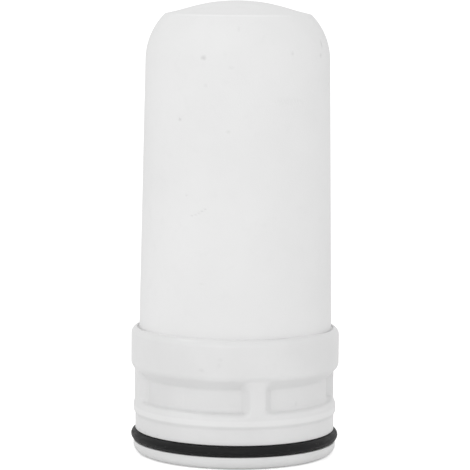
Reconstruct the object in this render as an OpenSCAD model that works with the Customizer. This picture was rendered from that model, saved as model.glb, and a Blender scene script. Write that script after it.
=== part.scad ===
// Ceramic filter cartridge for a tap-mounted water purifier.
// A closed ceramic shell is bonded into a moulded base cup that carries a sealing ring.
// Water passes in through the shell's wall, down through the carbon bed and the felt pad,
// and out of the grid in the underside of the cup.
// Millimetres, +Z up. The origin is the centre of the foot ring's flat face.

/* [Ceramic shell] */
// Space between the shell's rim and the socket, all round
shell_gap = 0.25; // [0.15:0.05:0.6]
// How much the shell's radius shrinks from its rim to its shoulder
shell_taper = 1; // [0:0.05:2]
// Height from the rim to the start of the shoulder
shell_side_h = 57.5; // [40:0.1:80]
// Wall thickness of the shell
shell_wall = 5; // [4:0.1:6]
// Thickness of the shell at the middle of its dome
shell_dome_wall = 5.4; // [4:0.1:8]
// Radius of the shoulder's arc
shoulder_r = 12.4; // [8:0.1:13]
// How far the shoulder's upper edge lies in from the side wall
crown_step = 3.55; // [2:0.05:5]
// Radius that breaks the shoulder's upper edge
crown_round = 0.7; // [0.3:0.1:1]
// Width of the sloping rim between the crown edge and the dome
crown_rim_w = 2.85; // [1.5:0.05:4]
// Rise of the sloping rim
crown_rise = 0.55; // [0.2:0.05:0.9]
// Height of the raised dome above its own edge
dome_rise = 2.1; // [1:0.1:4]
// Corner radius at the top of the cavity
cavity_round = 7.5; // [5:0.5:9]
// Chamfer on both edges of the open rim
rim_chamfer = 0.4; // [0.2:0.1:0.8]

/* [Base cup] */
// Diameter of the collar that holds the shell
collar_d = 40; // [34:0.1:48]
// Wall thickness of the collar
collar_wall = 1.15; // [0.9:0.05:2]
// Height of the collar's cylindrical band
collar_band_h = 5.6; // [3:0.1:6]
// Outer radius of the collar's lip
lip_round = 1.5; // [1.2:0.1:1.8]
// Height of the sloping step under the collar
collar_slope_h = 0.7; // [0.3:0.05:1.2]
// Depth of the socket below the lip
socket_depth = 7; // [4:0.1:7.5]
// Wall thickness of the cup behind its windows
cup_wall = 1.9; // [1.4:0.05:2.6]
// Thickness of the cup's floor
floor_t = 1.8; // [1.4:0.1:2.6]
// Height of the floor's underside above the foot
recess_h = 3.4; // [2.6:0.1:3.8]
// Wall thickness of the foot ring inside the ring's groove
foot_wall = 1.45; // [1:0.05:2.4]

/* [Windows and ribs] */
// How far the ribs, the bead and the bottom flange lie inside the collar's face
rib_step = 0.5; // [0.2:0.05:1]
// Depth of the windows behind the faces of the ribs
window_depth = 1.9; // [1.4:0.05:2.4]
// Number of windows and ribs round the cup
window_count = 4; // [3:1:6]
// Height of the window's lower edge above the foot
window_z = 10.5; // [9.6:0.05:11.5]
// Height of the windows, from their lower edge up to the collar's slope
window_h = 6.2; // [5:0.05:8]
// Angle of the windows' upper edge above the level
window_slope = 43; // [30:1:60]
// Width of the plain face of a rib
rib_face_w = 1.9; // [1:0.1:5]
// Angle of a rib's sides away from straight out
rib_draft = 34; // [5:1:45]
// Radius on the long edges of a rib
rib_round = 0.5; // [0.2:0.1:1]
// Radius where a rib or a window edge meets the window's floor
window_fillet = 0.6; // [0.2:0.05:0.8]
// Radius between the windows' upper edge and the face above it
window_edge_round = 0.4; // [0.2:0.05:0.6]
// Radius on the upper edge of the bead under the windows
bead_round = 1.1; // [0.5:0.1:1.2]
// Height of the bead's lower edge above the foot
bead_z = 7.9; // [7:0.1:8.2]
// Radius on the lower edge of the bead
bead_under_round = 0.3; // [0.1:0.05:0.4]

/* [Ring seat] */
// How far the plain band above the sealing ring lies inside the bead's face
band_step = 0.35; // [0.15:0.05:0.6]
// Section diameter of the sealing ring
ring_section_d = 2; // [1.8:0.1:2.4]
// Depth of the ring's groove behind the face of the bottom flange
groove_depth = 1.55; // [1.3:0.05:2]
// Space in the groove beside the sealing ring
groove_side_gap = 0.1; // [0.05:0.05:0.3]
// Height of the groove's lower wall above the foot
groove_z = 2.4; // [1.9:0.05:2.6]
// Radius on the outer edge of the foot
foot_round = 1.6; // [0.6:0.1:1.8]

/* [Outlet] */
// Bore diameter of the outlet
outlet_d = 9; // [7:0.1:12]
// Wall thickness of the outlet's boss
outlet_wall = 1.7; // [1.2:0.1:2.4]
// Diameter of the opening in the outlet's grid
grid_d = 8; // [6:0.1:8.4]
// Height of the boss's mouth above the foot
outlet_z = 0.8; // [0.4:0.1:1.4]
// Width of the bars across the outlet
grid_bar_w = 1.3; // [0.8:0.1:2]
// Thickness of the bars across the outlet
grid_t = 1.2; // [0.8:0.1:1.4]
// Number of stiffening ribs under the floor
web_count = 8; // [4:1:12]
// Thickness of a stiffening rib
web_t = 1.2; // [0.8:0.1:1.6]
// Height of the stiffening ribs' lower edge above the foot
web_z = 1.5; // [0.8:0.1:2.2]

/* [Filling] */
// Thickness of the felt pad
felt_t = 2; // [1:0.1:4]
// Space round the felt pad
felt_gap = 0.1; // [0.05:0.05:0.5]
// Space between the carbon bed and the walls round it
bed_gap = 0.1; // [0.05:0.05:0.3]
// Thickness of adhesive under the shell's rim
bond_bed_t = 0.3; // [0.2:0.05:0.8]
// Depth of the adhesive's top below the lip
bond_top_depth = 0.2; // [0.2:0.1:3]

/* [Hidden] */
$fn = 128;

WHITE_PLASTIC = "gainsboro";
WHITE_CERAMIC = "whitesmoke";
// Angle from which the windows and the webs are counted
front_angle = -90;
// Steps along a rounded stretch of an outline, for each quarter turn
arc_steps = 10;
// How far a cutting shape runs past the surface that it cuts
past = 1;

// Heights in the cup, from the foot upwards
groove_top_z = groove_z + ring_section_d + 2 * groove_side_gap;
ring_z = (groove_z + groove_top_z) / 2;
floor_z = recess_h + floor_t;
outlet_grid_z = floor_z - grid_t;

// Heights of the windows and the collar
slope_z = window_z + window_h;
collar_z = slope_z + collar_slope_h;
lip_z = collar_z + collar_band_h + lip_round;
shelf_z = lip_z - socket_depth;

// Heights of the shell and what lies in it
rim_z = shelf_z + bond_bed_t;
shoulder_z = rim_z + shell_side_h;
bond_top_z = lip_z - bond_top_depth;
bed_z = floor_z + felt_t;

// Radii of the cup, from the collar's face inwards
collar_r = collar_d / 2;
socket_r = collar_r - collar_wall;
rib_r = collar_r - rib_step;
window_r = rib_r - window_depth;
cup_r = window_r - cup_wall;
band_r = rib_r - band_step;
groove_r = rib_r - groove_depth;
recess_r = groove_r - foot_wall;
outlet_r = outlet_d / 2;
boss_r = outlet_r + outlet_wall;

// Radii of the shell, from its rim in the socket up to its dome
shell_rim_r = socket_r - shell_gap;
shell_top_r = shell_rim_r - shell_taper;
crown_r = shell_top_r - crown_step;
dome_r = crown_r - crown_rim_w;

// Points of an arc about [x, y], from angle a to angle b
function arc(x, y, r, a, b) =
    let (n = max(2, ceil(arc_steps * abs(b - a) / 90)))
    [for (i = [0 : n]) let (t = a + (b - a) * i / n) [x + r * cos(t), y + r * sin(t)]];

// Radius of the shell's straight side at height z, outside and inside
function shell_r(z) = shell_rim_r - shell_taper * (z - rim_z) / shell_side_h;
function cavity_r(z) = shell_r(z) - shell_wall;

// The shoulder is an arc from the side wall up to the crown edge
shoulder_x = shell_top_r - shoulder_r;
crown_angle = acos(1 - crown_step / shoulder_r);
crown_z = shoulder_z + shoulder_r * sin(crown_angle);

// The crown edge is broken by an arc from the shoulder's slope to the rim's slope
crown_slope = atan2(crown_rise, crown_rim_w);
crown_centre_r = crown_r - crown_round * cos(crown_angle);
crown_centre_z = crown_z - crown_round * sin(crown_angle);
crown_end_r = crown_centre_r + crown_round * sin(crown_slope);
crown_end_z = crown_centre_z + crown_round * cos(crown_slope);

// The dome is a shallow part of a sphere
dome_edge_z = crown_end_z + crown_rise;
dome_sphere_r = (dome_r * dome_r + dome_rise * dome_rise) / (2 * dome_rise);
dome_top_z = dome_edge_z + dome_rise;
dome_centre_z = dome_top_z - dome_sphere_r;
dome_angle = asin(dome_r / dome_sphere_r);

// The cavity ends in a flat top with a rounded corner
cavity_top_z = dome_top_z - shell_dome_wall;
cavity_turn_z = cavity_top_z - cavity_round;

function shell_outside() = concat(
    [[shell_r(rim_z) - rim_chamfer, rim_z], [shell_r(rim_z + rim_chamfer), rim_z + rim_chamfer]],
    arc(shoulder_x, shoulder_z, shoulder_r, 0, crown_angle),
    arc(crown_centre_r, crown_centre_z, crown_round, crown_angle, 90 - crown_slope),
    arc(0, dome_centre_z, dome_sphere_r, 90 - dome_angle, 90)
);

// Outline of the cavity from the axis down to height z, taken in by gap all round
function cavity_outside(gap, z) = concat(
    arc(cavity_r(cavity_turn_z) - cavity_round, cavity_turn_z, cavity_round - gap, 90, 0),
    [[cavity_r(z) - gap, z]]
);

// Ceramic shell: a closed candle with a shouldered dome, bored to an even wall
module ceramic_shell() {
    color(WHITE_CERAMIC)
    rotate_extrude()
    polygon(concat(
        shell_outside(),
        [[0, cavity_top_z]],
        cavity_outside(0, rim_z + rim_chamfer),
        [[cavity_r(rim_z) + rim_chamfer, rim_z]]
    ));
}

// Carbon bed: loose granules that fill the cup above the felt pad and the whole cavity
module carbon_bed() {
    color("dimgray")
    rotate_extrude()
    polygon(concat(
        [[0, bed_z], [cup_r - bed_gap, bed_z], [cup_r - bed_gap, shelf_z]],
        [[cavity_r(rim_z) - bed_gap, shelf_z]],
        [for (i = [0 : len(bed_wall) - 1]) bed_wall[len(bed_wall) - 1 - i]],
        [[0, cavity_top_z - bed_gap]]
    ));
}
bed_wall = cavity_outside(bed_gap, rim_z);

// Felt pad: lies on the cup's floor and keeps the granules out of the outlet
module felt_pad() {
    color("ivory")
    translate([0, 0, floor_z])
    cylinder(r = cup_r - felt_gap, h = felt_t);
}

// Adhesive: a bed under the shell's rim and a wall between the shell and the socket
module bond_ring() {
    color("beige")
    rotate_extrude()
    polygon([
        [cup_r, shelf_z],
        [socket_r, shelf_z],
        [socket_r, bond_top_z],
        [shell_r(bond_top_z), bond_top_z],
        [shell_r(rim_z + rim_chamfer), rim_z + rim_chamfer],
        [shell_rim_r - rim_chamfer, rim_z],
        [cup_r, rim_z]
    ]);
}

// Sealing ring: stretched into its groove, and stands out past the band
module o_ring() {
    color("black")
    translate([0, 0, ring_z])
    rotate_extrude()
    translate([groove_r + ring_section_d / 2, 0])
    circle(d = ring_section_d);
}

// Outline of the cup's outside and bores, with the windows' floor run right round
function cup_outline() = concat(
    arc(rib_r - foot_round, foot_round, foot_round, -90, 0),
    [[rib_r, groove_z], [groove_r, groove_z], [groove_r, groove_top_z]],
    [[band_r, groove_top_z], [band_r, bead_z]],
    arc(rib_r - bead_under_round, bead_z + bead_under_round, bead_under_round, -90, 0),
    arc(rib_r - bead_round, window_z - bead_round, bead_round, 0, 90),
    arc(window_r + window_fillet, window_z + window_fillet, window_fillet, -90, -180),
    arc(window_r + window_fillet, window_top_z, window_fillet, 180, 90 + window_slope),
    arc(rib_r - window_edge_round, slope_z, window_edge_round, window_slope - 90, 0),
    [[collar_r, collar_z]],
    arc(collar_r - lip_round, lip_z - lip_round, lip_round, 0, lip_end_angle),
    [[socket_r, shelf_z], [cup_r, shelf_z], [cup_r, floor_z]],
    [[0, floor_z], [0, recess_h], [recess_r, recess_h], [recess_r, 0]]
);
// The lip's arc stops where it meets the socket's bore
lip_end_angle = acos(1 - collar_wall / lip_round);

// The windows' floor ends where the fillet under its sloping upper edge begins
window_rounds = window_fillet + window_edge_round;
slope_run = window_depth - window_rounds * (1 - sin(window_slope));
window_top_z = slope_z - window_rounds * cos(window_slope) - slope_run * tan(window_slope);

// One half of a rib's section, in the plane across the axis, with X along the rib's middle.
// Its corner touches the face and the side, and its fillet touches the side and the windows' floor.
rib_turn = asin(rib_face_w / 2 / rib_r);
rib_corner_x = (rib_r - rib_round) * cos(rib_turn);
rib_corner_y = (rib_r - rib_round) * sin(rib_turn);
// Distance from the axis to the line of the rib's side, and to the centre of its fillet
rib_side = rib_corner_x * sin(rib_draft) + rib_corner_y * cos(rib_draft) + rib_round;
rib_fillet_off = rib_side + window_fillet;
rib_fillet_run = sqrt(pow(window_r + window_fillet, 2) - pow(rib_fillet_off, 2));
rib_fillet_x = rib_fillet_off * sin(rib_draft) + rib_fillet_run * cos(rib_draft);
rib_fillet_y = rib_fillet_off * cos(rib_draft) - rib_fillet_run * sin(rib_draft);
rib_fillet_end = atan2(rib_fillet_y, rib_fillet_x);

function rib_half() = concat(
    arc(0, 0, rib_r, 0, rib_turn),
    arc(rib_corner_x, rib_corner_y, rib_round, rib_turn, 90 - rib_draft),
    arc(rib_fillet_x, rib_fillet_y, window_fillet, 270 - rib_draft, 180 + rib_fillet_end),
    [[cup_r + past / 2, rib_fillet_y]]
);

// Rib: stands on the windows' floor from the bead up to the collar
module rib() {
    half = rib_half();
    last = len(half) - 1;
    translate([0, 0, window_z - bead_round])
    linear_extrude(height = slope_z - window_z + bead_round)
    polygon(concat(half, [for (i = [0 : last - 1]) [half[last - i][0], -half[last - i][1]]]));
}

// Stiffening rib under the floor, from the outlet's boss to the foot ring
module web() {
    translate([boss_r - past / 2, -web_t / 2, web_z])
    cube([recess_r - boss_r + past, web_t, recess_h - web_z + past / 2]);
}

// Outlet boss under the floor, before its bore is cut
module outlet_boss() {
    translate([0, 0, outlet_z])
    cylinder(r = boss_r, h = recess_h - outlet_z + past / 2);
}

// Openings in the floor above the outlet: a round hole with two bars across it
module outlet_openings() {
    difference() {
        translate([0, 0, outlet_grid_z - past])
        cylinder(d = grid_d, h = grid_t + 2 * past);
        for (a = [0, 90])
            rotate(a)
            translate([-grid_d, -grid_bar_w / 2, outlet_grid_z - 2 * past])
            cube([2 * grid_d, grid_bar_w, grid_t + 4 * past]);
    }
}

// Base cup: socket, windows, ring seat, foot and outlet in one moulding
module base_cup() {
    color(WHITE_PLASTIC)
    difference() {
        union() {
            rotate_extrude() polygon(cup_outline());
            for (i = [0 : window_count - 1])
                rotate(front_angle + i * 360 / window_count) rib();
            for (i = [0 : web_count - 1])
                rotate(front_angle + (i + 0.5) * 360 / web_count) web();
            outlet_boss();
        }
        translate([0, 0, outlet_z - past])
        cylinder(r = outlet_r, h = outlet_grid_z - outlet_z + past);
        outlet_openings();
    }
}

base_cup();
ceramic_shell();
o_ring();
bond_ring();
felt_pad();
carbon_bed();
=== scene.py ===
import math
import random

import bmesh
import bpy
from mathutils import Matrix, Vector


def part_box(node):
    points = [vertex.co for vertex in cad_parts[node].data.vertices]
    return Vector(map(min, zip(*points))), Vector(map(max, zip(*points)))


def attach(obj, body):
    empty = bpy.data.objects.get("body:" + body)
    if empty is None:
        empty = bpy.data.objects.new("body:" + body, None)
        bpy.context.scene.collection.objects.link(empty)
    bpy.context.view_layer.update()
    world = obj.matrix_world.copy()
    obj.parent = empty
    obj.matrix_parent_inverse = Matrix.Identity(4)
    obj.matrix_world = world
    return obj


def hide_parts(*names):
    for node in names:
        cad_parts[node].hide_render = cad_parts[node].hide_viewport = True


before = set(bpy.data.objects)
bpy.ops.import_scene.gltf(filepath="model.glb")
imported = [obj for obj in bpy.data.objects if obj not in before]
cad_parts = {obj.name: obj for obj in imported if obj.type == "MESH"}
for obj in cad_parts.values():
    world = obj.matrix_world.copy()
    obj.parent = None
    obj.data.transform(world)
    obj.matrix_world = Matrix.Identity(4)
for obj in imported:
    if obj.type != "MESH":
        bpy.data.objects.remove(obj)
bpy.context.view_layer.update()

# Lengths are millimetres in this script, and MM turns them into the frame's metres.
# In the materials, bump distances are metres and noise scales are per metre.
MM = 0.001
# Edges that turn by more than this many degrees are shaded as creases
SHARP_ANGLE = 32
# Vertices closer than this are welded, and shorter stretches of an outline are left out
WELD = 1e-5
SHORTEST = 1e-6

# Base cup, from the foot upwards
COLLAR_R = 20.0
COLLAR_WALL = 1.15
RIB_R = COLLAR_R - 0.5
WINDOW_R = RIB_R - 1.9
CUP_R = WINDOW_R - 1.9
BAND_R = RIB_R - 0.35
GROOVE_R = RIB_R - 1.55
RECESS_R = GROOVE_R - 1.45
SOCKET_R = COLLAR_R - COLLAR_WALL
FOOT_ROUND = 1.6
GROOVE_Z = 2.4
GROOVE_TOP_Z = 4.6
BEAD_Z = 7.9
BEAD_STEP_H = 0.95
BEAD_ROUND = 1.1
WINDOW_Z = 10.5
WINDOW_FILLET = 0.8
WINDOW_SLOPE = 43
WINDOW_EDGE_ROUND = 0.4
WINDOW_TOP_FILLET = 1.0
SLOPE_Z = WINDOW_Z + 6.2
COLLAR_Z = SLOPE_Z + 0.7
COLLAR_UNDER_ROUND = 1.6
LIP_ROUND = 1.5
LIP_Z = COLLAR_Z + 5.6 + LIP_ROUND
# The lip's round stops 9 degrees before it would reach the socket's wall
LIP_TURN = math.degrees(math.acos(1 - COLLAR_WALL / LIP_ROUND)) - 9
LIP_IN_Z = LIP_Z - LIP_ROUND * (1 - math.sin(math.radians(LIP_TURN)))
# The lip's inner corner: (out from the socket's wall, up from LIP_IN_Z)
LIP_CORNER = ((0.09, -0.02), (0.0, -0.08))
SHELF_Z = LIP_Z - 7
FLOOR_Z = 5.2
RECESS_H = 3.4
# Radius that breaks the small moulded edges
EDGE = 0.12

# Ribs between the windows
RIB_COUNT = 4
RIB_FACE_W = 1.9
RIB_DRAFT = 34
RIB_ROUND = 0.9
RIB_FILLET = 0.8

# Outlet and the underside
OUTLET_R = 4.5
BOSS_R = OUTLET_R + 1.7
OUTLET_Z = 0.8
GRID_R = 4.0
GRID_Z = FLOOR_Z - 1.2
GRID_BAR_W = 1.3
GRID_BAR_END = 0.3
GRID_BAR_SUNK = 0.02
WEB_COUNT = 8
WEB_T = 1.2
WEB_Z = 1.5
# How far a stiffening web reaches into what it joins
WEB_JOIN = 0.5

# Ceramic shell
SHELL_TOP_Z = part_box("ceramic_shell")[1].z / MM
RIM_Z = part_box("ceramic_shell")[0].z / MM
SHELL_RIM_R = SOCKET_R - 0.25
SHELL_TAPER = 1.0
SHELL_SIDE_H = 57.65
SHELL_WALL = 5.0
SHOULDER_R = 12.4
CROWN_STEP = 3.55
CROWN_ROUND = 0.7
CROWN_RIM_W = 2.85
CROWN_RISE = 0.55
DOME_RISE = 1.95
CAVITY_ROUND = 7.5
DOME_WALL = 5.4
RIM_CHAMFER = 0.4
SHOULDER_Z = RIM_Z + SHELL_SIDE_H
CROWN_TURN = math.degrees(math.acos(1 - CROWN_STEP / SHOULDER_R))
CROWN_Z = SHOULDER_Z + SHOULDER_R * math.sin(math.radians(CROWN_TURN))
# Where the crease at the dome's foot is rounded, and how many times over
CREASE_IN_R = 6.0
CREASE_OUT_R = 13.0
CREASE_DEPTH = 4.0
CREASE_PASSES = 3

# Sealing ring
RING_SECTION_R = 1.0
RING_R = GROOVE_R + RING_SECTION_R
RING_Z = (GROOVE_Z + GROOVE_TOP_Z) / 2

# Adhesive: its top edge against LIP_IN_Z, and how much of a dip its outer edge follows
BOND_SEED = 7
BOND_OUT_DROP = 0.09
BOND_OUT_SHARE = 0.7
BOND_MID_DROP = 0.05
BOND_IN_RISE = 0.06
# Gaps that keep its faces off its neighbours' faces
BOND_GAP = 0.001
BOND_CUP_GAP = 0.02

# Columns of points right round the axis
SHELL_COLUMNS = 256
RING_COLUMNS = 240
BOND_COLUMNS = 288
WINDOW_COLUMNS = 44

# Longest stretch of an outline between two of its points
SHELL_STEP = 1.5
CAVITY_STEP = 4.0
RIB_STEP = 0.2
FOOT_STEP = 0.7
WINDOW_STEP = 0.4
SOCKET_STEP = 1.2

# Marks are this many times their listed size, and fade out over this share of it
MARK_SPREAD = 1.3
MARK_FADE = 0.95
MARK_RAGGED = 0.9

# Floor, world and lights
FLOOR_HALF_W = 50000
FLOOR_LEVEL = 0.93
FLOOR_GLOW = 0.4
WORLD_STRENGTH = 0.87
LIGHTS_AIM_Z = 45

# The photograph's camera
CAMERA_AZIMUTH = 13.1
CAMERA_DISTANCE = 460.0
CAMERA_Z = 92.01
CAMERA_PITCH = 6.21
CAMERA_YAW = 0.028
CAMERA_ROLL = 0.55
CAMERA_LENS = 184.65
SENSOR_W = 36.0
CLIP_START = 10.0


def arc(x, y, r, a, b, steps):
    """Points of an arc about (x, y) from angle a to b in degrees, with so many steps a quarter turn."""
    n = max(2, math.ceil(steps * abs(b - a) / 90))
    turn = [math.radians(a + (b - a) * i / n) for i in range(n + 1)]
    return [(x + r * math.cos(t), y + r * math.sin(t)) for t in turn]


def line(a, b, step):
    """Points from a to b, without b, no more than step apart."""
    n = max(1, math.ceil(math.dist(a, b) / step))
    return [(a[0] + (b[0] - a[0]) * i / n, a[1] + (b[1] - a[1]) * i / n) for i in range(n)]


def polyline(points, step):
    """An outline with its long stretches cut up, so that shading stays even."""
    out = []
    for a, b in zip(points, points[1:]):
        if math.dist(a, b) > SHORTEST:
            out += line(a, b, step)
    return out + [points[-1]]


def around(count):
    """Evenly spaced angles right round the axis."""
    return [2 * math.pi * i / count for i in range(count)]


def new_object(name, bm):
    """A smooth-shaded object from a bmesh in millimetres, creased at its sharp edges."""
    bmesh.ops.remove_doubles(bm, verts=bm.verts, dist=WELD)
    bmesh.ops.recalc_face_normals(bm, faces=bm.faces)
    bmesh.ops.scale(bm, vec=(MM, MM, MM), verts=bm.verts)
    mesh = bpy.data.meshes.new(name)
    bm.to_mesh(mesh)
    bm.free()
    mesh.shade_smooth()
    mesh.set_sharp_from_angle(angle=math.radians(SHARP_ANGLE))
    piece = bpy.data.objects.new(name, mesh)
    bpy.context.scene.collection.objects.link(piece)
    return piece


def skin(bm, columns, closed_loop):
    """Faces between neighbouring columns of points, right round the axis."""
    rings = [[bm.verts.new(p) for p in column] for column in columns]
    rows = len(rings[0])
    for i, here in enumerate(rings):
        there = rings[(i + 1) % len(rings)]
        for k in range(rows if closed_loop else rows - 1):
            m = (k + 1) % rows
            corners = []
            for v in (here[k], there[k], there[m], here[m]):
                if v not in corners:
                    corners.append(v)
            bm.faces.new(corners)


def at(r, turn, z):
    """The point at radius r and height z, turned from the front towards +X."""
    return Vector((r * math.sin(turn), -r * math.cos(turn), z))


def shell_r(z):
    """The radius of the shell's tapered side at a height."""
    return SHELL_RIM_R - SHELL_TAPER * (z - RIM_Z) / SHELL_SIDE_H


def shell_outline():
    """The shell's section from the middle of the dome down the outside and up the cavity."""
    top_r = SHELL_RIM_R - SHELL_TAPER
    slope = math.degrees(math.atan2(CROWN_RISE, CROWN_RIM_W))
    crown_r = top_r - CROWN_STEP
    centre_r = crown_r - CROWN_ROUND * math.cos(math.radians(CROWN_TURN))
    centre_z = CROWN_Z - CROWN_ROUND * math.sin(math.radians(CROWN_TURN))
    dome_r = crown_r - CROWN_RIM_W
    dome_sphere = (dome_r ** 2 + DOME_RISE ** 2) / (2 * DOME_RISE)
    dome_turn = math.degrees(math.asin(dome_r / dome_sphere))
    cavity_top = SHELL_TOP_Z - DOME_WALL
    cavity_turn = cavity_top - CAVITY_ROUND
    outside = (
        arc(0, SHELL_TOP_Z - dome_sphere, dome_sphere, 90, 90 - dome_turn, 60)
        + arc(centre_r, centre_z, CROWN_ROUND, 90 - slope, CROWN_TURN, 12)
        + arc(top_r - SHOULDER_R, SHOULDER_Z, SHOULDER_R, CROWN_TURN, 0, 24)
        + [(shell_r(RIM_Z + RIM_CHAMFER), RIM_Z + RIM_CHAMFER), (SHELL_RIM_R - RIM_CHAMFER, RIM_Z)]
    )
    inner_r = shell_r(cavity_turn) - SHELL_WALL
    inside = (
        [(SHELL_RIM_R - SHELL_WALL + RIM_CHAMFER, RIM_Z)]
        + [(shell_r(RIM_Z) - SHELL_WALL, RIM_Z + RIM_CHAMFER)]
        + arc(inner_r - CAVITY_ROUND, cavity_turn, CAVITY_ROUND, 0, 90, 8)
        + [(0, cavity_top)]
    )
    return polyline(outside, SHELL_STEP), polyline(inside, CAVITY_STEP)


def soften_crease(points):
    """Rounds the crease where the dome meets the rim that slopes up to it."""
    out = list(points)
    for _ in range(CREASE_PASSES):
        for i in range(1, len(out) - 1):
            before, (r, z), after = out[i - 1:i + 2]
            if CREASE_IN_R < r < CREASE_OUT_R and z > SHELL_TOP_Z - CREASE_DEPTH:
                mean_r = 0.5 * r + 0.25 * (before[0] + after[0])
                mean_z = 0.5 * z + 0.25 * (before[1] + after[1])
                out[i] = (mean_r, mean_z)
    return out


def build_shell():
    """The ceramic candle, turned about the axis."""
    outside, inside = shell_outline()
    outline = soften_crease(outside) + inside
    bm = bmesh.new()
    skin(bm, [[at(r, t, z) for r, z in outline] for t in around(SHELL_COLUMNS)], closed_loop=False)
    piece = new_object("ceramic_candle", bm)
    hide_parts("ceramic_shell")
    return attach(piece, "root")


def rib_section():
    """Half of a rib across the axis: face, corner, side and the fillet down to the windows' floor."""
    draft = math.radians(RIB_DRAFT)
    turn = math.asin(RIB_FACE_W / 2 / RIB_R)
    corner_x = (RIB_R - RIB_ROUND) * math.cos(turn)
    corner_y = (RIB_R - RIB_ROUND) * math.sin(turn)
    off = corner_x * math.sin(draft) + corner_y * math.cos(draft) + RIB_ROUND + RIB_FILLET
    run = math.sqrt((WINDOW_R + RIB_FILLET) ** 2 - off ** 2)
    fillet_x = off * math.sin(draft) + run * math.cos(draft)
    fillet_y = off * math.cos(draft) - run * math.sin(draft)
    end = math.degrees(math.atan2(fillet_y, fillet_x))
    section = (
        arc(0, 0, RIB_R, 0, math.degrees(turn), 60)
        + arc(corner_x, corner_y, RIB_ROUND, math.degrees(turn), 90 - RIB_DRAFT, 16)
        + arc(fillet_x, fillet_y, RIB_FILLET, 270 - RIB_DRAFT, 180 + end, 14)
    )
    return polyline(section, RIB_STEP)


def rib_columns():
    """(angle, share of the rib's height) for each column of the cup's skin."""
    half = []
    for x, y in rib_section():
        share = (math.hypot(x, y) - WINDOW_R) / (RIB_R - WINDOW_R)
        half.append((math.atan2(y, x), min(1.0, max(0.0, share))))
    last = half[-1][0]
    pitch = 2 * math.pi / RIB_COUNT
    free = [(last + (pitch - 2 * last) * i / WINDOW_COLUMNS, 0.0) for i in range(1, WINDOW_COLUMNS)]
    one = half + free + [(pitch - a, s) for a, s in reversed(half[1:])]
    return [(a + k * pitch, s) for k in range(RIB_COUNT) for a, s in one]


def cup_sections():
    """The cup's closed section through a window and through a rib, point for point."""
    bead_step = []
    for i in range(9):
        share = (1 - math.cos(math.pi * i / 8)) / 2
        bead_step.append((BAND_R + (RIB_R - BAND_R) * share, BEAD_Z + BEAD_STEP_H * (i / 8 - 0.5)))
    below = (
        arc(RIB_R - FOOT_ROUND, FOOT_ROUND, FOOT_ROUND, -90, 0, 10)
        + arc(RIB_R - EDGE, GROOVE_Z - EDGE, EDGE, 0, 90, 3)
        + [(GROOVE_R, GROOVE_Z), (GROOVE_R, GROOVE_TOP_Z)]
        + arc(BAND_R - EDGE, GROOVE_TOP_Z + EDGE, EDGE, -90, 0, 3)
        + bead_step
    )
    below = polyline(below, FOOT_STEP)
    # The windows' upper edge slopes, with one tangent arc from it to the collar
    slope = math.radians(WINDOW_SLOPE)
    out_r, out_z = math.sin(slope), -math.cos(slope)
    reach = out_r * (RIB_R - WINDOW_EDGE_ROUND) + out_z * SLOPE_Z + WINDOW_EDGE_ROUND
    fillet_r = WINDOW_R + WINDOW_TOP_FILLET
    fillet_z = (reach + WINDOW_TOP_FILLET - out_r * fillet_r) / out_z
    under_r = COLLAR_R - COLLAR_UNDER_ROUND
    under_z = (reach - COLLAR_UNDER_ROUND - out_r * under_r) / out_z
    window = (
        arc(RIB_R - BEAD_ROUND, WINDOW_Z - BEAD_ROUND, BEAD_ROUND, 0, 90, 12)
        + arc(WINDOW_R + WINDOW_FILLET, WINDOW_Z + WINDOW_FILLET, WINDOW_FILLET, -90, -180, 7)
        + arc(fillet_r, fillet_z, WINDOW_TOP_FILLET, 180, 90 + WINDOW_SLOPE, 14)
        + arc(under_r, under_z, COLLAR_UNDER_ROUND, WINDOW_SLOPE - 90, 0, 20)
    )
    window = polyline(window, WINDOW_STEP)
    # On a rib, the same points run straight up and then swell out to the collar
    lengths = [0.0]
    for a, b in zip(window, window[1:]):
        lengths.append(lengths[-1] + math.dist(a, b))
    low, high = window[0][1], window[-1][1]
    rise_z = SLOPE_Z + COLLAR_Z - high
    rib = []
    for length in lengths:
        z = low + (high - low) * length / lengths[-1]
        share = min(1.0, max(0.0, (z - rise_z) / (high - rise_z)))
        swell = (1 - math.cos(math.pi * share)) / 2
        rib.append((RIB_R + (COLLAR_R - RIB_R) * swell, z))
    above = (
        arc(COLLAR_R - LIP_ROUND, LIP_Z - LIP_ROUND, LIP_ROUND, 0, LIP_TURN, 18)
        + [(SOCKET_R + out, LIP_IN_Z + up) for out, up in LIP_CORNER]
        + [(SOCKET_R, SHELF_Z), (CUP_R, SHELF_Z), (CUP_R, FLOOR_Z)]
        + [(GRID_R, FLOOR_Z), (GRID_R, GRID_Z), (OUTLET_R, GRID_Z)]
        + [(OUTLET_R, OUTLET_Z + EDGE), (OUTLET_R + EDGE, OUTLET_Z)]
        + arc(BOSS_R - 2 * EDGE, OUTLET_Z + 2 * EDGE, 2 * EDGE, -90, 0, 3)
        + [(BOSS_R, RECESS_H), (RECESS_R, RECESS_H)]
        + arc(RECESS_R + 2 * EDGE, 2 * EDGE, 2 * EDGE, 180, 270, 3)
    )
    above = polyline(above, SOCKET_STEP)
    through_window = below + window + above
    through_rib = below + rib + above
    return through_window, through_rib


def box_into(bm, size, centre, turn):
    """A box of the given size about a centre, turned about the axis."""
    place = Matrix.Rotation(turn, 4, "Z") @ Matrix.Translation(centre) @ Matrix.Diagonal((*size, 1))
    bmesh.ops.create_cube(bm, size=1, matrix=place)


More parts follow.
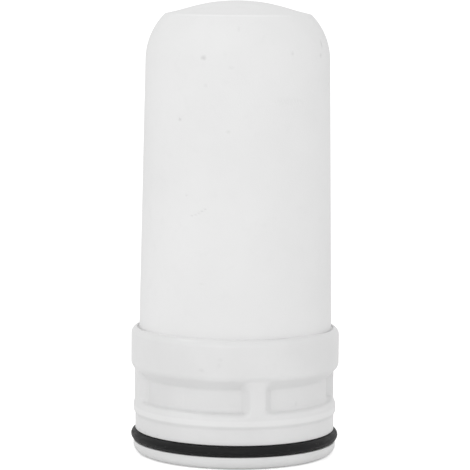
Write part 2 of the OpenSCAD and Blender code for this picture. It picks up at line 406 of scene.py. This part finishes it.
def build_cup():
    """The moulded cup: a skin with ribs and windows, with its webs and outlet grid joined to it."""
    through_window, through_rib = cup_sections()
    bm = bmesh.new()
    columns = []
    for turn, share in rib_columns():
        column = []
        for (ra, za), (rb, zb) in zip(through_window, through_rib):
            column.append(at(ra + (rb - ra) * share, turn, za + (zb - za) * share))
        columns.append(column)
    skin(bm, columns, closed_loop=True)
    piece = new_object("cup_moulding", bm)

    # The webs and the outlet's bars are joined to the moulding as one solid
    webs = bmesh.new()
    web_in, web_out = BOSS_R - WEB_JOIN, RECESS_R + WEB_JOIN
    web_top = RECESS_H + WEB_JOIN
    for i in range(WEB_COUNT):
        size = (web_out - web_in, WEB_T, web_top - WEB_Z)
        centre = Vector(((web_in + web_out) / 2, 0, (web_top + WEB_Z) / 2))
        box_into(webs, size, centre, (i + 0.5) * 2 * math.pi / WEB_COUNT)
    tools = [new_object("webs", webs)]
    bar_low, bar_high = GRID_Z + GRID_BAR_SUNK, FLOOR_Z - GRID_BAR_SUNK
    bar_size = (2 * (GRID_R + GRID_BAR_END), GRID_BAR_W, bar_high - bar_low)
    bar_centre = Vector((0, 0, (bar_low + bar_high) / 2))
    for name, turn in (("bar_x", 0.0), ("bar_y", math.pi / 2)):
        bar = bmesh.new()
        box_into(bar, bar_size, bar_centre, turn)
        tools.append(new_object(name, bar))
    for tool in tools:
        join = piece.modifiers.new(tool.name, "BOOLEAN")
        join.operation = "UNION"
        join.solver = "EXACT"
        join.object = tool
    bpy.context.view_layer.update()
    done = piece.evaluated_get(bpy.context.evaluated_depsgraph_get())
    mesh = bpy.data.meshes.new_from_object(done)
    piece.modifiers.clear()
    piece.data = mesh
    for tool in tools:
        bpy.data.objects.remove(tool)
    mesh.shade_smooth()
    mesh.set_sharp_from_angle(angle=math.radians(SHARP_ANGLE))
    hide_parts("base_cup")
    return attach(piece, "root")


def build_ring():
    """The rubber ring, with its round section resting on the groove's floor."""
    bm = bmesh.new()
    section = arc(RING_R, RING_Z, RING_SECTION_R, 0, 360, 9)[:-1]
    skin(bm, [[at(r, t, z) for r, z in section] for t in around(RING_COLUMNS)], closed_loop=True)
    piece = new_object("sealing_ring", bm)
    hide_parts("o_ring")
    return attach(piece, "root")


def build_bond():
    """The adhesive fills the gap up to the lip and a little up the shell, and sinks at the sides."""
    rng = random.Random(BOND_SEED)
    # Small waves: (number round the axis, phase, height)
    waves = [(rng.randint(5, 23), rng.uniform(0, 6.3), rng.uniform(0.002, 0.008)) for _ in range(6)]
    # Sunk stretches: (middle and half width in degrees from the camera's side, depth)
    sinks = [(-88, 36, 0.4), (84, 38, 0.35), (26, 16, 0.1), (-30, 7, 0.04), (180, 50, 0.2)]
    inner, outer = shell_r(LIP_IN_Z) + BOND_GAP, SOCKET_R - BOND_GAP
    bm = bmesh.new()
    columns = []
    for turn in around(BOND_COLUMNS):
        dip = sum(h * (0.5 + 0.5 * math.sin(n * turn + p)) for n, p, h in waves)
        for middle, half_width, depth in sinks:
            off = (math.degrees(turn) + CAMERA_AZIMUTH - middle + 180) % 360 - 180
            dip += depth * max(0.0, 1 - (off / half_width) ** 2) ** 2
        outline = [
            (CUP_R + BOND_CUP_GAP, SHELF_Z + BOND_GAP),
            (outer, SHELF_Z + BOND_GAP),
            (outer, LIP_IN_Z - BOND_OUT_DROP - dip * BOND_OUT_SHARE),
            ((inner + outer) / 2, LIP_IN_Z - BOND_MID_DROP - dip),
            (inner, LIP_IN_Z + BOND_IN_RISE - dip),
            (shell_r(RIM_Z + RIM_CHAMFER) + BOND_GAP, RIM_Z + RIM_CHAMFER),
            (SHELL_RIM_R - RIM_CHAMFER, RIM_Z - BOND_GAP),
            (CUP_R + BOND_CUP_GAP, RIM_Z - BOND_GAP),
        ]
        columns.append([at(r, turn, z) for r, z in outline])
    skin(bm, columns, closed_loop=True)
    piece = new_object("bond_bead", bm)
    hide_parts("bond_ring")
    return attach(piece, "root")


class Shader:
    """A material's node tree, with short calls that add and join nodes."""

    def __init__(self, name):
        self.material = bpy.data.materials.new(name)
        self.material.use_nodes = True
        self.tree = self.material.node_tree
        self.tree.nodes.clear()
        out = self.tree.nodes.new("ShaderNodeOutputMaterial")
        self.surface = self.tree.nodes.new("ShaderNodeBsdfPrincipled")
        self.tree.links.new(self.surface.outputs[0], out.inputs[0])
        coordinates = self.tree.nodes.new("ShaderNodeTexCoord")
        self.place = coordinates.outputs["Object"]

    def put(self, socket, value):
        """Joins another node's output to the socket, or sets its value."""
        if isinstance(value, bpy.types.NodeSocket):
            self.tree.links.new(value, socket)
        else:
            socket.default_value = value

    def add(self, kind, out=0, settings=None, **inputs):
        """A new node's output; its inputs go by name, or by number as i0, i1 and so on."""
        node = self.tree.nodes.new("ShaderNode" + kind)
        for key, value in (settings or {}).items():
            setattr(node, key, value)
        for key, value in inputs.items():
            numbered = key[0] == "i" and key[1:].isdigit()
            self.put(node.inputs[int(key[1:]) if numbered else key], value)
        return node.outputs[out]

    def math(self, operation, a, b=0.0):
        return self.add("Math", settings={"operation": operation}, i0=a, i1=b)

    def dot(self, a, b):
        return self.add("VectorMath", out=1, settings={"operation": "DOT_PRODUCT"}, i0=a, i1=b)

    def height(self, vector):
        """The vector's z."""
        return self.add("SeparateXYZ", out=2, Vector=vector)

    def noise(self, scale, detail, roughness=0.5, vector=None):
        return self.add(
            "TexNoise", Scale=scale, Detail=detail, Roughness=roughness, Vector=vector or self.place
        )

    def scaled(self, factors):
        """The place on the piece, stretched, for patterns that run one way."""
        return self.add("Mapping", Vector=self.place, Scale=factors)

    def span(self, value, low, high, to_low=0.0, to_high=1.0):
        """value between low and high becomes to_low to to_high, smoothly and within them."""
        return self.add(
            "MapRange",
            settings={"interpolation_type": "SMOOTHSTEP"},
            i0=value, i1=low, i2=high, i3=to_low, i4=to_high,
        )

    def mix(self, share, a, b):
        """Colour a where share is 0 and colour b where it is 1."""
        node = self.tree.nodes.new("ShaderNodeMix")
        node.data_type = "RGBA"
        self.put(node.inputs[0], share)
        self.put(node.inputs[6], a)
        self.put(node.inputs[7], b)
        return node.outputs[2]

    def bump(self, height, distance, strength, after=None):
        """A bumped normal, on top of an earlier one where after is given."""
        node = self.tree.nodes.new("ShaderNodeBump")
        node.inputs["Strength"].default_value = strength
        node.inputs["Distance"].default_value = distance
        self.put(node.inputs["Height"], height)
        if after is not None:
            self.put(node.inputs["Normal"], after)
        return node.outputs[0]

    def finish(self, **inputs):
        """Sets the surface's own sockets by name, with _ for a space."""
        for key, value in inputs.items():
            self.put(self.surface.inputs[key.replace("_", " ")], value)
        return self.material


def grey(level, warm=0.0):
    """A near-neutral colour; warm above 0 takes a little blue away."""
    return (level, level * (1 - 0.5 * warm), level * (1 - warm), 1)


def mark(shader, angle, z, half_wide, half_high):
    """1 in the middle of an uneven mark, 0 outside it; the angle is from the camera's side."""
    turn = math.radians(angle - CAMERA_AZIMUTH)
    level = Vector((0, 0, z)) * MM
    off = shader.add("VectorMath", settings={"operation": "SUBTRACT"}, i0=shader.place, i1=level)
    across = Vector((math.cos(turn), math.sin(turn), 0))
    side = shader.math("DIVIDE", shader.dot(off, across), half_wide * MARK_SPREAD * MM)
    up = shader.math("DIVIDE", shader.height(off), half_high * MARK_SPREAD * MM)
    flat = shader.add("CombineXYZ", X=side, Y=up)
    distance = shader.add("VectorMath", out=1, settings={"operation": "LENGTH"}, i0=flat)
    ragged = shader.math("SUBTRACT", shader.noise(1400.0, 2.0), 0.5)
    distance = shader.math("ADD", distance, shader.math("MULTIPLY", ragged, MARK_RAGGED))
    near = shader.span(distance, 1.0, 1.0 - MARK_FADE)
    # The same place on the far side of the axis stays clear
    facing = shader.dot(shader.place, at(1.0, turn, 0.0))
    return shader.math("MULTIPLY", near, shader.math("GREATER_THAN", facing, 0.0))


def ceramic_material():
    """Unglazed ceramic: fine pores, faint mottling, small pits and a painted highlight along the edge
    under the dome.
    """
    s = Shader("shell_ceramic")
    # Clouds, mottling and pores, from coarse to fine
    cloud = s.noise(45.0, 3.0, 0.55)
    mottle = s.noise(420.0, 4.0, 0.6)
    grain = s.noise(3600.0, 3.0, 0.6)
    tone = s.mix(s.span(cloud, 0.35, 0.65), grey(0.808), grey(0.83))
    tone = s.mix(s.math("MULTIPLY", s.span(mottle, 0.55, 0.75), 0.25), tone, grey(0.77))
    # Marks in the photograph: (angle from the camera's side, z, half width, half height, darkness)
    marks = [
        (-21.0, 76.4, 0.60, 0.50, 0.16),
        (-36.6, 64.9, 0.38, 0.36, 0.15),
        (-5.4, 62.9, 0.50, 0.36, 0.05),
        (65.9, 78.8, 0.40, 0.75, 0.13),
        (62.2, 76.8, 0.45, 0.50, 0.11),
        (35.2, 77.3, 0.35, 0.60, 0.06),
        (0.4, 81.7, 0.30, 0.60, 0.04),
        (-4.0, 74.6, 0.60, 0.40, 0.03),
        (-19.5, 71.3, 0.40, 0.30, 0.03),
        (-31.0, 50.9, 0.25, 0.22, 0.04),
        (-27.0, 47.2, 0.40, 0.16, 0.05),
        (-24.8, 47.4, 0.40, 0.16, 0.05),
        (-22.6, 47.7, 0.40, 0.16, 0.05),
        (-20.6, 48.1, 0.36, 0.16, 0.06),
        (-18.8, 48.5, 0.32, 0.18, 0.06),
        (32.0, 68.3, 3.20, 0.90, 0.010),
        (-20.5, 34.5, 0.40, 0.28, 0.015),
    ]
    pits = 0.0
    for angle, z, half_wide, half_high, dark in marks:
        one = mark(s, angle, z, half_wide, half_high)
        tone = s.mix(s.math("MULTIPLY", one, dark * 2.2), tone, grey(0.42, 0.02))
        pits = s.math("MAXIMUM", pits, one)
    # Painted highlight: the edge under the dome is painted paler in front, as a bright line where its
    # rounding catches the light
    off = s.math("ABSOLUTE", s.math("SUBTRACT", s.height(s.place), CROWN_Z * MM))
    front = at(1.0, math.radians(-5 - CAMERA_AZIMUTH), 0.0)
    crown_highlight_front = s.span(s.dot(s.place, front), 8.0 * MM, 12.5 * MM)
    painted_crown_highlight = s.math("MULTIPLY", s.span(off, 0.22 * MM, 0.06 * MM), crown_highlight_front)
    tone = s.mix(s.math("MULTIPLY", painted_crown_highlight, 0.45), tone, grey(0.9))
    fine = s.bump(grain, 0.00004, 0.5)
    low = s.bump(mottle, 0.00005, 0.35, after=fine)
    deep = s.bump(s.math("MULTIPLY", pits, -1.0), 0.0001, 0.5, after=low)
    rough = s.span(mottle, 0.3, 0.7, 0.86, 0.95)
    return s.finish(Base_Color=tone, Roughness=rough, Normal=deep, IOR=1.45, Specular_IOR_Level=0.35)


def plastic_material():
    """Softly glossy moulded plastic, with flow marks, smudges, dust and a painted highlight band on the
    bead.
    """
    s = Shader("cup_plastic")
    flow = s.noise(70.0, 2.0, 0.5)
    fine = s.noise(900.0, 2.0, 0.5)
    tone = s.mix(s.span(flow, 0.35, 0.65), grey(0.745), grey(0.775))
    tone = s.mix(s.math("MULTIPLY", s.span(fine, 0.5, 0.8), 0.2), tone, grey(0.72))
    # Smudges and dust in the photograph, listed as the shell's marks are; below 0 is paler
    marks = [
        (-8.0, 20.9, 0.55, 0.40, 0.05),
        (-8.6, 19.8, 0.50, 0.60, 0.04),
        (-18.2, 18.7, 0.60, 0.42, 0.07),
        (41.0, 11.6, 0.40, 0.60, 0.06),
        (-33.2, 12.6, 0.30, 1.60, -0.04),
        (-71.0, 5.15, 0.60, 0.25, 0.16),
        (-62.0, 5.10, 0.50, 0.20, 0.14),
        (-49.0, 5.20, 0.45, 0.20, 0.12),
    ]
    for angle, z, half_wide, half_high, dark in marks:
        one = mark(s, angle, z, half_wide, half_high)
        tint = grey(0.45 if dark > 0 else 0.95, 0.01)
        tone = s.mix(s.math("MULTIPLY", one, abs(dark) * 2), tone, tint)
    # Painted highlight: a paler band painted right round the bead's lower half
    off = s.math("ABSOLUTE", s.math("SUBTRACT", s.height(s.place), (BEAD_Z + 0.8) * MM))
    tone = s.mix(s.math("MULTIPLY", s.span(off, 0.8 * MM, 0.3 * MM), 0.33), tone, grey(0.9))
    # Below a roughness of about 0.28 the denoised render gets dark specks
    rough = s.span(fine, 0.3, 0.7, 0.285, 0.315)
    normal = s.bump(flow, 0.0006, 0.25)
    normal = s.bump(fine, 0.00002, 0.15, after=normal)
    return s.finish(Base_Color=tone, Roughness=rough, Normal=normal, IOR=1.5)


def rubber_material():
    """Black rubber with dust and streaks that run round the ring."""
    s = Shader("ring_rubber")
    # The streaks are drawn out round the ring
    x, y, z = (s.add("SeparateXYZ", out=k, Vector=s.place) for k in range(3))
    turn = s.math("MULTIPLY", s.math("ARCTAN2", y, x), RING_R * MM)
    along = s.add("CombineXYZ", X=turn, Y=s.math("MULTIPLY", z, 9.0))
    streak = s.noise(260.0, 4.0, 0.65, vector=along)
    dust = s.noise(2600.0, 3.0, 0.7)
    speck = s.add("TexVoronoi", Vector=s.place, Scale=900.0)
    specks = s.span(speck, 0.16, 0.06)
    share = s.math("MULTIPLY", s.span(streak, 0.5, 0.78), s.span(dust, 0.4, 0.7))
    tone = s.mix(s.math("MULTIPLY", share, 0.5), (0.008, 0.008, 0.0085, 1), (0.05, 0.05, 0.052, 1))
    tone = s.mix(s.math("MULTIPLY", specks, 0.12), tone, (0.25, 0.25, 0.25, 1))
    rough = s.span(streak, 0.3, 0.7, 0.42, 0.62)
    normal = s.bump(streak, 0.00005, 0.5)
    normal = s.bump(dust, 0.00002, 0.4, after=normal)
    return s.finish(Base_Color=tone, Roughness=rough, Normal=normal, IOR=1.5, Specular_IOR_Level=0.2)


def adhesive_material():
    """Cured white adhesive, slightly cloudy."""
    s = Shader("adhesive")
    cloud = s.noise(600.0, 3.0)
    tone = s.mix(cloud, grey(0.8, 0.004), grey(0.85, 0.002))
    normal = s.bump(cloud, 0.0002, 0.5)
    return s.finish(Base_Color=tone, Roughness=0.45, Normal=normal, IOR=1.48)


def felt_material():
    """Non-woven fibres that cross two ways."""
    s = Shader("felt")
    stretched = s.scaled((600.0, 4200.0, 4200.0))
    crossed = s.scaled((4200.0, 600.0, 4200.0))
    fibres = s.math("MAXIMUM", s.noise(1.0, 3.0, vector=stretched), s.noise(1.0, 3.0, vector=crossed))
    tone = s.mix(s.span(fibres, 0.45, 0.7), grey(0.62, 0.04), grey(0.8, 0.03))
    normal = s.bump(fibres, 0.0002, 0.8)
    return s.finish(Base_Color=tone, Roughness=0.95, Normal=normal)


def carbon_material():
    """Black granules."""
    s = Shader("carbon")
    cell = s.add("TexVoronoi", Vector=s.place, Scale=900.0)
    tone = s.mix(cell, (0.03, 0.03, 0.03, 1), (0.008, 0.008, 0.009, 1))
    normal = s.bump(cell, 0.0005, 0.9)
    return s.finish(Base_Color=tone, Roughness=0.7, Normal=normal)


def white_to_camera(name, level, glow):
    """A pale stage material: lit as a plain surface, and lifted to white where the camera sees it."""
    material = bpy.data.materials.new(name)
    material.use_nodes = True
    tree = material.node_tree
    tree.nodes.clear()
    out = tree.nodes.new("ShaderNodeOutputMaterial")
    lit = tree.nodes.new("ShaderNodeBsdfDiffuse")
    lit.inputs["Color"].default_value = (level, level, level, 1)
    light = tree.nodes.new("ShaderNodeEmission")
    path = tree.nodes.new("ShaderNodeLightPath")
    seen = tree.nodes.new("ShaderNodeMath")
    seen.operation = "MULTIPLY"
    seen.inputs[1].default_value = glow
    both = tree.nodes.new("ShaderNodeAddShader")
    tree.links.new(path.outputs["Is Camera Ray"], seen.inputs[0])
    tree.links.new(seen.outputs[0], light.inputs["Strength"])
    tree.links.new(lit.outputs[0], both.inputs[0])
    tree.links.new(light.outputs[0], both.inputs[1])
    tree.links.new(both.outputs[0], out.inputs[0])
    return material


def build_stage():
    """The pale floor, wide enough to have no edge in view."""
    bm = bmesh.new()
    bmesh.ops.create_grid(bm, x_segments=1, y_segments=1, size=FLOOR_HALF_W)
    floor = new_object("floor", bm)
    floor.data.materials.append(white_to_camera("floor_white", FLOOR_LEVEL, FLOOR_GLOW))


def build_world():
    """A dimmer white sky for the light on the object, and plain white where the camera sees it."""
    world = bpy.data.worlds.new("studio")
    bpy.context.scene.world = world
    world.use_nodes = True
    tree = world.node_tree
    tree.nodes.clear()
    out = tree.nodes.new("ShaderNodeOutputWorld")
    dim = tree.nodes.new("ShaderNodeBackground")
    dim.inputs["Strength"].default_value = WORLD_STRENGTH
    white = tree.nodes.new("ShaderNodeBackground")
    path = tree.nodes.new("ShaderNodeLightPath")
    mix = tree.nodes.new("ShaderNodeMixShader")
    tree.links.new(path.outputs["Is Camera Ray"], mix.inputs[0])
    tree.links.new(dim.outputs[0], mix.inputs[1])
    tree.links.new(white.outputs[0], mix.inputs[2])
    tree.links.new(mix.outputs[0], out.inputs[0])
    for node in (dim, white):
        node.inputs["Color"].default_value = (1, 1, 1, 1)


def softbox(name, azimuth, elevation, distance, size, power):
    """A square soft light that looks at the middle of the object, with its power in watts."""
    middle = Vector((0, 0, LIGHTS_AIM_Z)) * MM
    a, e = math.radians(azimuth), math.radians(elevation)
    away = Vector((math.sin(a) * math.cos(e), -math.cos(a) * math.cos(e), math.sin(e)))
    light = bpy.data.lights.new(name, "AREA")
    light.shape = "SQUARE"
    light.size = size * MM
    light.energy = power
    lamp = bpy.data.objects.new(name, light)
    bpy.context.scene.collection.objects.link(lamp)
    lamp.location = middle + away * distance * MM
    lamp.rotation_euler = (-away).to_track_quat("-Z", "Y").to_euler()


def build_lights():
    """A broad key at the left, a fill in front and a small high light behind the left side."""
    softbox("key", azimuth=-32, elevation=6, distance=900, size=700, power=1.34)
    softbox("fill", azimuth=-4, elevation=5, distance=900, size=500, power=0.33)
    softbox("window", azimuth=-115, elevation=60, distance=900, size=100, power=0.32)


def build_camera():
    """The photograph's camera, at its azimuth towards -X."""
    a = math.radians(CAMERA_AZIMUTH)
    camera = bpy.data.cameras.new("camera")
    camera.lens = CAMERA_LENS
    camera.sensor_width = SENSOR_W
    camera.clip_start = CLIP_START * MM
    eye = bpy.data.objects.new("camera", camera)
    bpy.context.scene.collection.objects.link(eye)
    spin = Matrix.Rotation(-a + math.radians(CAMERA_YAW), 4, "Z")
    tilt = Matrix.Rotation(math.radians(90 - CAMERA_PITCH), 4, "X")
    roll = Matrix.Rotation(math.radians(CAMERA_ROLL), 4, "Z")
    stand = Vector((-math.sin(a), -math.cos(a), 0)) * CAMERA_DISTANCE * MM
    stand.z = CAMERA_Z * MM
    eye.matrix_world = Matrix.Translation(stand) @ spin @ tilt @ roll
    bpy.context.scene.camera = eye


def dress(piece, material):
    """Gives a piece one material."""
    piece.data.materials.clear()
    piece.data.materials.append(material)


build_camera()
build_world()
build_lights()
build_stage()
dress(build_shell(), ceramic_material())
dress(build_cup(), plastic_material())
dress(build_ring(), rubber_material())
dress(build_bond(), adhesive_material())
# These two CAD nodes stay, with better materials
for node, material in (("felt_pad", felt_material()), ("carbon_bed", carbon_material())):
    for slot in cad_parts[node].material_slots:
        slot.material = material

bpy.context.scene.view_settings.view_transform = "Standard"
